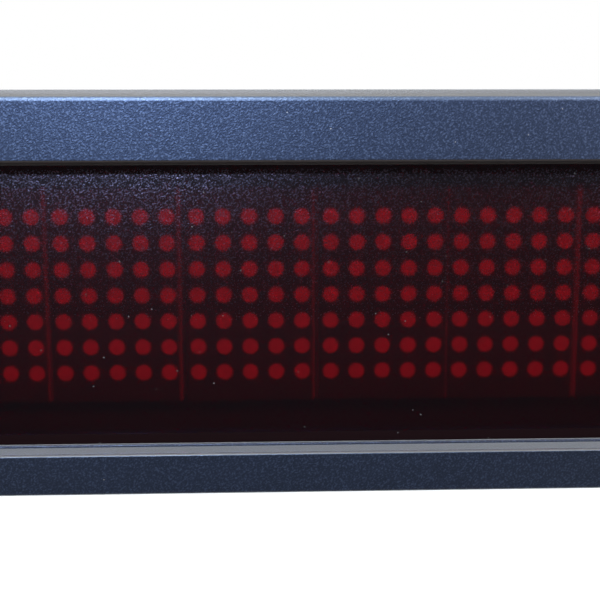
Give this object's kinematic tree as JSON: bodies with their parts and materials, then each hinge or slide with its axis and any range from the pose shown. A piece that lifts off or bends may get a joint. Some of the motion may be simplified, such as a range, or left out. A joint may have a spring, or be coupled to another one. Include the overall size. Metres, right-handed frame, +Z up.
{
  "type": "led indicator",
  "caption": "Long LED dot-matrix indicator with a dark red filter window in a blue grained extruded case, closed by end caps, with power and data sockets at one end.",
  "frame": {"origin": "middle of the underside", "axes": "+X along the case towards the sockets, +Y from the window to the rear wall, +Z up"},
  "size_m": [0.195, 0.033, 0.059],
  "materials": {
    "blue_case": "dark blue, fine-grained, satin",
    "red_filter": "dark red see-through sheet, matt front",
    "display_housing": "black face, white sides",
    "display_dots": "milky cast resin",
    "tinned_metal": "tinned",
    "board": "green laminate",
    "black_moulding": "moulded, matt",
    "steel": "nickel plated",
    "seal": "black, matt",
    "can": "plain",
    "contact": "plated"
  },
  "bodies": {
    "root": {"case_profile": "blue_case", "end_cap_left": "blue_case", "end_cap_right": "blue_case", "end_gasket_left": "seal", "end_gasket_right": "seal", "cap_screws": "steel", "filter_window": "red_filter", "display_board": "board", "display_1_shell": "display_housing", "display_1_dots": "display_dots", "display_1_pins": "tinned_metal", "display_2_shell": "display_housing", "display_2_dots": "display_dots", "display_2_pins": "tinned_metal", "display_3_shell": "display_housing", "display_3_dots": "display_dots", "display_3_pins": "tinned_metal", "display_4_shell": "display_housing", "display_4_dots": "display_dots", "display_4_pins": "tinned_metal", "display_5_shell": "display_housing", "display_5_dots": "display_dots", "display_5_pins": "tinned_metal", "display_6_shell": "display_housing", "display_6_dots": "display_dots", "display_6_pins": "tinned_metal", "display_7_shell": "display_housing", "display_7_dots": "display_dots", "display_7_pins": "tinned_metal", "display_8_shell": "display_housing", "display_8_dots": "display_dots", "display_8_pins": "tinned_metal", "column_driver_1": "black_moulding", "column_driver_2": "black_moulding", "column_driver_3": "black_moulding", "column_driver_4": "black_moulding", "column_driver_5": "black_moulding", "row_driver": "black_moulding", "controller": "black_moulding", "crystal": "tinned_metal", "line_transceiver": "black_moulding", "regulator": "black_moulding", "capacitor_1": "can", "capacitor_2": "can", "power_jack": "black_moulding", "power_pin": "contact", "data_shell": "steel", "data_insert": "black_moulding", "data_contacts": "contact", "data_jackscrews": "steel", "mounting_nuts": "steel"}
  },
  "joints": []
}
